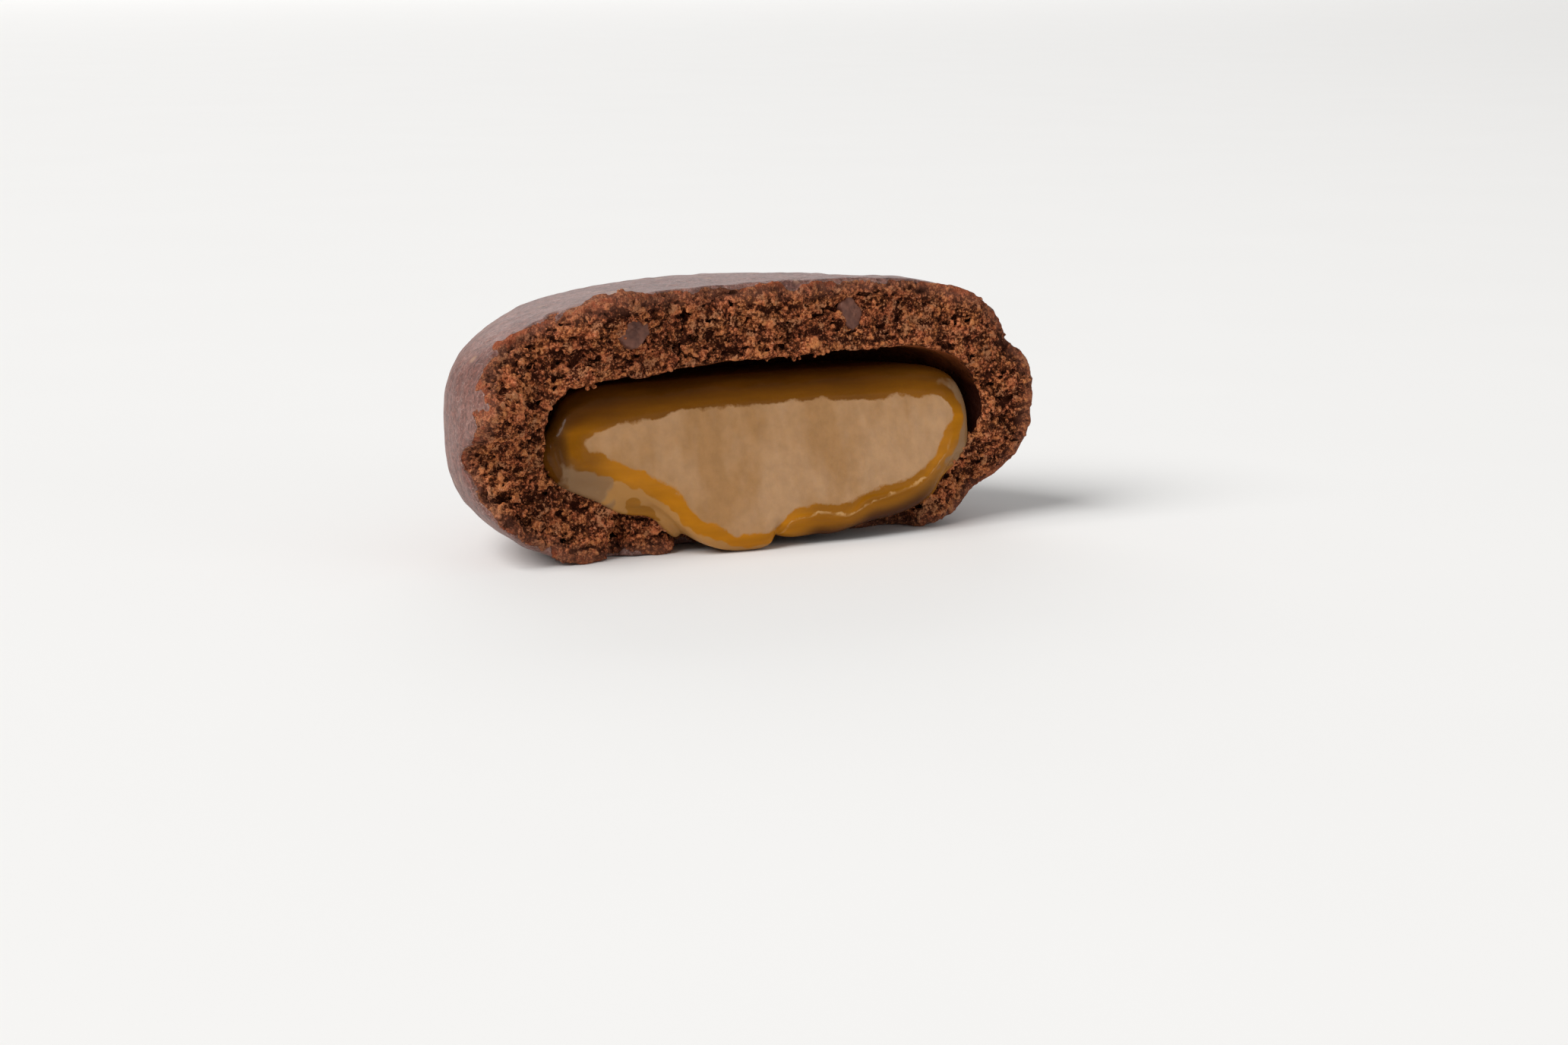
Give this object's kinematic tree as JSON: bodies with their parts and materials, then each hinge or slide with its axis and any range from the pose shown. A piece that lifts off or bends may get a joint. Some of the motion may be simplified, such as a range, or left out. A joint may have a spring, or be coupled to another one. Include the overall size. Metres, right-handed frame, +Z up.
{
  "type": "filled cookie half",
  "caption": "Half of a round, thick cacao cookie, torn open to show a porous crumb and a hollow of soft caramel that bulges out and runs over the lower lip.",
  "frame": {"origin": "middle of the bounding box, on the flat base", "axes": "+X along the torn face, from its left end to its right end as seen from the front, +Y from the torn face to the round back, +Z up"},
  "size_m": [0.0576, 0.0314, 0.0235],
  "materials": {
    "cacao_dough": "matte baked cacao dough with a pitted skin and a rough porous crumb",
    "caramel": "glossy soft caramel"
  },
  "bodies": {
    "root": {"cookie_half": "cacao_dough", "caramel_filling": "caramel"}
  },
  "joints": []
}
